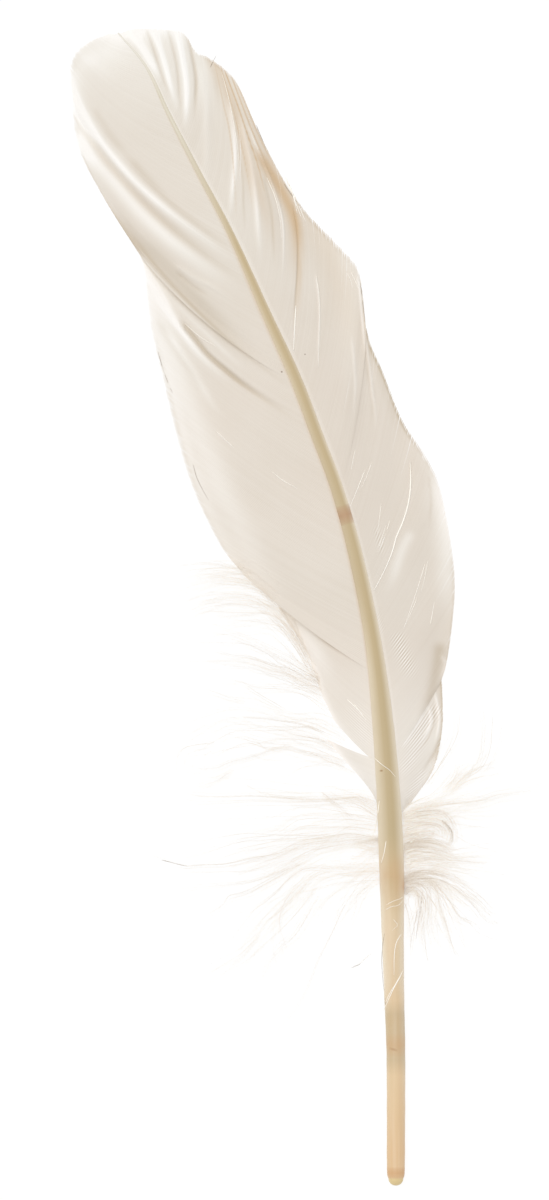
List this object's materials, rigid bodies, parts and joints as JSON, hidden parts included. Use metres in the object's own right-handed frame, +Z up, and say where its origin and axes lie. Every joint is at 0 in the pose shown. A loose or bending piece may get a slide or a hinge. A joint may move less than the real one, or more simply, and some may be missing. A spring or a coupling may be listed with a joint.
{
  "type": "goose quill feather",
  "caption": "Wing feather lying on its margins: round horn barrel, curved rachis, split webs of barbs and loose down at the foot.",
  "frame": {"origin": "middle of the feather's footprint, on the surface it lies on", "axes": "+Y up the straight barrel towards the tip, +X to its right seen from above, +Z up from the surface"},
  "size_m": [0.1184, 0.2892, 0.0086],
  "materials": {
    "quill_horn": "satin",
    "vane_webs": "matte",
    "down_barbs": "matte"
  },
  "bodies": {
    "root": {"quill_shaft": "quill_horn", "left_web_upper": "vane_webs", "left_web_middle": "vane_webs", "left_web_lower": "vane_webs", "left_web_foot": "vane_webs", "right_web_upper": "vane_webs", "right_web_middle": "vane_webs", "right_web_foot": "vane_webs", "left_down": "down_barbs", "right_down": "down_barbs"}
  },
  "joints": []
}
